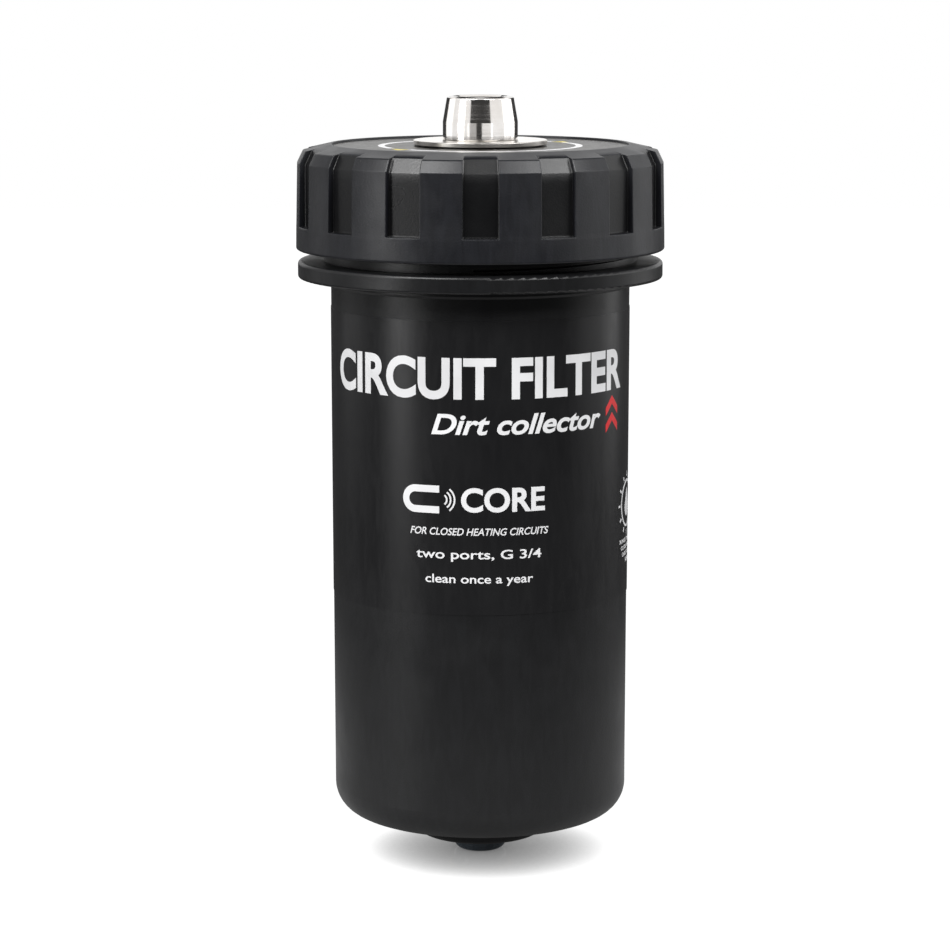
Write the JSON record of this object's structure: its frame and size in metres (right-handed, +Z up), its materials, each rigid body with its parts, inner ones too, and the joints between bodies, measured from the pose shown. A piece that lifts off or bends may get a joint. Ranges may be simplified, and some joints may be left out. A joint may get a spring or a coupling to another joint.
{
  "type": "magnetic system filter",
  "caption": "Upright black canister filter for heating water: ribbed screw cap, plated vent on top, magnet core in a sheath inside, drain plug below and two threaded ports at the rear.",
  "frame": {"origin": "centre of the drain plug's flat foot, the lowest point, on the canister's axis", "axes": "+Z up along the canister's axis towards the vent, +Y out of the two pipe ports at the rear, -Y the labelled front"},
  "size_m": [0.1322, 0.1401, 0.276],
  "materials": {
    "black_nylon": "fine moulded grain",
    "label_film": "satin printed film",
    "nickel_plate": "polished plating on brass",
    "stainless_washer": "brushed",
    "raw_brass": "machined",
    "plug_plastic": "smooth blue-grey",
    "black_rubber": "matt",
    "inner_nylon": "moulded",
    "acetal": "smooth white",
    "sheath_nylon": "smooth",
    "magnet": "zinc-plated sintered magnet",
    "core_steel": "machined"
  },
  "bodies": {
    "canister": {"canister": "black_nylon", "body_label": "label_film", "lower_spigot": "nickel_plate", "upper_spigot": "nickel_plate", "drain_insert": "raw_brass", "separator": "inner_nylon", "deflector": "inner_nylon"},
    "closure": {"closure_plate": "inner_nylon", "main_seal": "black_rubber", "thrust_ring": "acetal", "sheath": "sheath_nylon", "sheath_seal": "black_rubber", "core_end_cap": "inner_nylon", "core_rod": "core_steel", "core_magnets": "magnet", "pole_pieces": "core_steel", "core_head": "inner_nylon", "core_seal": "black_rubber", "core_nut": "core_steel", "vent_washer": "stainless_washer", "vent_body": "nickel_plate", "vent_seal": "black_rubber"},
    "screw_cap": {"screw_cap": "black_nylon", "cap_label": "label_film"},
    "bleed_lift": {"bleed_jumper": "raw_brass", "jumper_seal": "black_rubber"},
    "bleed_screw": {"bleed_screw": "raw_brass"},
    "drain_drop": {"drain_washer": "black_rubber"},
    "drain_plug": {"drain_plug": "plug_plastic", "drain_ring": "black_rubber"}
  },
  "joints": [
    {"name": "closure_lift", "type": "slide", "parent": "canister", "child": "closure", "axis": [0, 0, 1], "range_m": [0, 0.02]},
    {"name": "cap_turn", "type": "hinge", "parent": "closure", "child": "screw_cap", "pos_m": [0, 0, 0.24], "axis": [0, 0, 1], "range_deg": [0, 900]},
    {"name": "bleed_rise", "type": "slide", "parent": "closure", "child": "bleed_lift", "axis": [0, 0, 1], "range_m": [0, 0.003]},
    {"name": "bleed_turn", "type": "hinge", "parent": "bleed_lift", "child": "bleed_screw", "pos_m": [0, 0, 0.26], "axis": [0, 0, 1], "range_deg": [0, 720]},
    {"name": "drain_drop", "type": "slide", "parent": "canister", "child": "drain_drop", "axis": [0, 0, -1], "range_m": [0, 0.009]},
    {"name": "drain_turn", "type": "hinge", "parent": "drain_drop", "child": "drain_plug", "pos_m": [0, 0, 0.007], "axis": [0, 0, -1], "range_deg": [0, 2160]}
  ],
  "couplings": [
    {"joint": "closure_lift", "follows": "cap_turn", "m_per_rad": 0.0012732},
    {"joint": "bleed_turn", "follows": "bleed_rise", "rad_per_m": 4188.8},
    {"joint": "drain_turn", "follows": "drain_drop", "rad_per_m": 4188.8}
  ]
}
